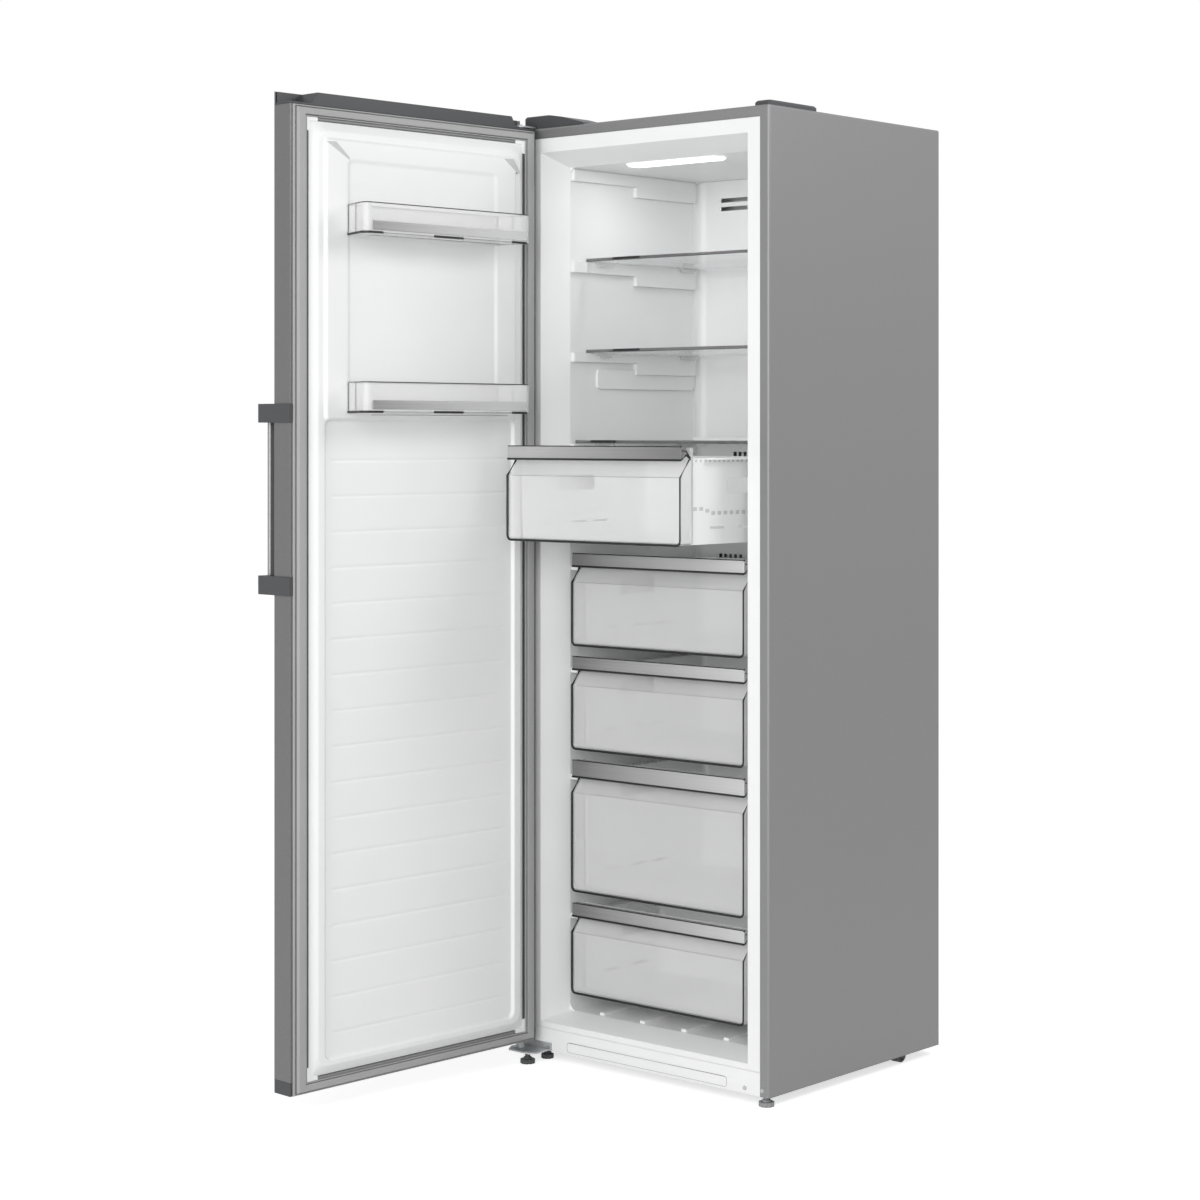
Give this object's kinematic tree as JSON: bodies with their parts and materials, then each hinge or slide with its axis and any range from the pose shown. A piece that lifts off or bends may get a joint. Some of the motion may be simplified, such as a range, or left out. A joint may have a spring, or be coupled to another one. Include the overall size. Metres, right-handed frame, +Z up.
{
  "type": "upright freezer",
  "caption": "Tall upright freezer with its side-hung door open, glass shelves above clear-fronted drawers, racks in the door and a bar handle.",
  "frame": {"origin": "on the floor, under the middle of the bounding box of the freezer with its door open", "axes": "+X to the right of someone facing the cabinet's front, +Y to the back, +Z up"},
  "size_m": [0.666, 1.145, 1.792],
  "materials": {
    "steel": "satin grey",
    "zinc": "galvanised",
    "liner_white": "satin white moulding",
    "black_enamel": "satin black",
    "foam": "rigid foam",
    "lamp": "frosted",
    "aluminium": "plain",
    "dark_plastic": "satin dark grey",
    "copper": "bare copper",
    "seal_grey": "soft matt",
    "silver_trim": "satin",
    "clear_plastic": "clear",
    "shelf_glass": "clear, toughened"
  },
  "bodies": {
    "cabinet": {"outer_shell": "steel", "back_panel": "zinc", "plinth_panel": "liner_white", "base_pan": "black_enamel", "inner_liner": "liner_white", "insulation_foam": "foam", "duct_cover": "liner_white", "evaporator": "aluminium", "fan_motor": "black_enamel", "ceiling_lamp": "lamp", "compressor": "black_enamel", "drip_tray": "dark_plastic", "condenser_coil": "black_enamel", "cooling_pipes": "copper", "cable_gland": "black_enamel", "upper_hinge": "zinc", "hinge_cover": "dark_plastic", "blank_cover": "dark_plastic", "lower_hinge": "zinc"},
    "door": {"door_skin": "steel", "door_top_cap": "dark_plastic", "door_bottom_cap": "dark_plastic", "door_foam": "foam", "door_liner": "liner_white", "door_gasket": "seal_grey", "gasket_retainer": "dark_plastic", "handle_bar": "silver_trim", "upper_handle_bracket": "dark_plastic", "lower_handle_bracket": "dark_plastic"},
    "evaporator_fan": {"evaporator_fan": "liner_white"},
    "upper_rack": {"upper_door_rack": "clear_plastic", "upper_door_rack_band": "silver_trim"},
    "lower_rack": {"lower_door_rack": "clear_plastic", "lower_door_rack_band": "silver_trim"},
    "roller_left": {"rear_roller_left": "dark_plastic"},
    "roller_right": {"rear_roller_right": "dark_plastic"},
    "foot_left": {"front_foot_left": "dark_plastic"},
    "foot_right": {"front_foot_right": "seal_grey"},
    "hinge_foot": {"hinge_foot": "dark_plastic"},
    "shelf_1": {"shelf_1_glass": "shelf_glass", "shelf_1_frame": "liner_white"},
    "shelf_2": {"shelf_2_glass": "shelf_glass", "shelf_2_frame": "liner_white"},
    "shelf_3": {"shelf_3_glass": "shelf_glass", "shelf_3_frame": "liner_white"},
    "drawer_1": {"drawer_1_box": "liner_white", "drawer_1_front": "clear_plastic", "drawer_1_grip": "silver_trim"},
    "drawer_2": {"drawer_2_box": "liner_white", "drawer_2_front": "clear_plastic", "drawer_2_grip": "silver_trim"},
    "drawer_3": {"drawer_3_box": "liner_white", "drawer_3_front": "clear_plastic", "drawer_3_grip": "silver_trim"},
    "drawer_4": {"drawer_4_box": "liner_white", "drawer_4_front": "clear_plastic", "drawer_4_grip": "silver_trim"},
    "drawer_5": {"drawer_5_box": "liner_white", "drawer_5_front": "clear_plastic", "drawer_5_grip": "silver_trim"}
  },
  "joints": [
    {"name": "door_hinge", "type": "hinge", "parent": "cabinet", "child": "door", "pos_m": [-0.2395, 0.0037, 0.918], "axis": [0, 0, -1], "range_deg": [-92.8, 17]},
    {"name": "drawer_1_slide", "type": "slide", "parent": "cabinet", "child": "drawer_1", "axis": [0, -1, 0], "range_m": [-0.178, 0.0327]},
    {"name": "drawer_2_slide", "type": "slide", "parent": "cabinet", "child": "drawer_2", "axis": [0, -1, 0], "range_m": [0, 0.24]},
    {"name": "drawer_3_slide", "type": "slide", "parent": "cabinet", "child": "drawer_3", "axis": [0, -1, 0], "range_m": [0, 0.24]},
    {"name": "drawer_4_slide", "type": "slide", "parent": "cabinet", "child": "drawer_4", "axis": [0, -1, 0], "range_m": [0, 0.24]},
    {"name": "drawer_5_slide", "type": "slide", "parent": "cabinet", "child": "drawer_5", "axis": [0, -1, 0], "range_m": [0, 0.15]},
    {"name": "shelf_1_slide", "type": "slide", "parent": "cabinet", "child": "shelf_1", "axis": [0, -1, 0], "range_m": [0, 0.045]},
    {"name": "shelf_2_slide", "type": "slide", "parent": "cabinet", "child": "shelf_2", "axis": [0, -1, 0], "range_m": [0, 0.045]},
    {"name": "shelf_3_slide", "type": "slide", "parent": "cabinet", "child": "shelf_3", "axis": [0, -1, 0], "range_m": [0, 0.045]},
    {"name": "upper_rack_lift", "type": "slide", "parent": "door", "child": "upper_rack", "axis": [0, 0, 1], "range_m": [0, 0.015]},
    {"name": "lower_rack_lift", "type": "slide", "parent": "door", "child": "lower_rack", "axis": [0, 0, 1], "range_m": [0, 0.015]},
    {"name": "fan_spin", "type": "hinge", "parent": "cabinet", "child": "evaporator_fan", "pos_m": [0.0355, 0.0332, 1.228], "axis": [0, 1, 0], "continuous": true},
    {"name": "roller_left_spin", "type": "hinge", "parent": "cabinet", "child": "roller_left", "pos_m": [0.0355, 0.4632, 0.015], "axis": [1, 0, 0], "continuous": true},
    {"name": "roller_right_spin", "type": "hinge", "parent": "cabinet", "child": "roller_right", "pos_m": [0.0355, 0.4632, 0.015], "axis": [1, 0, 0], "continuous": true},
    {"name": "foot_left_turn", "type": "hinge", "parent": "cabinet", "child": "foot_left", "pos_m": [-0.2095, 0.0472, 0.018], "axis": [0, 0, 1], "continuous": true},
    {"name": "foot_right_turn", "type": "hinge", "parent": "cabinet", "child": "foot_right", "pos_m": [0.3165, 0.0472, 0.018], "axis": [0, 0, 1], "continuous": true},
    {"name": "hinge_foot_turn", "type": "hinge", "parent": "cabinet", "child": "hinge_foot", "pos_m": [-0.2105, -0.0068, 0.018], "axis": [0, 0, 1], "continuous": true}
  ],
  "couplings": [
    {"joint": "drawer_1_slide", "follows": "door_hinge", "m_per_rad": 0.1099}
  ]
}
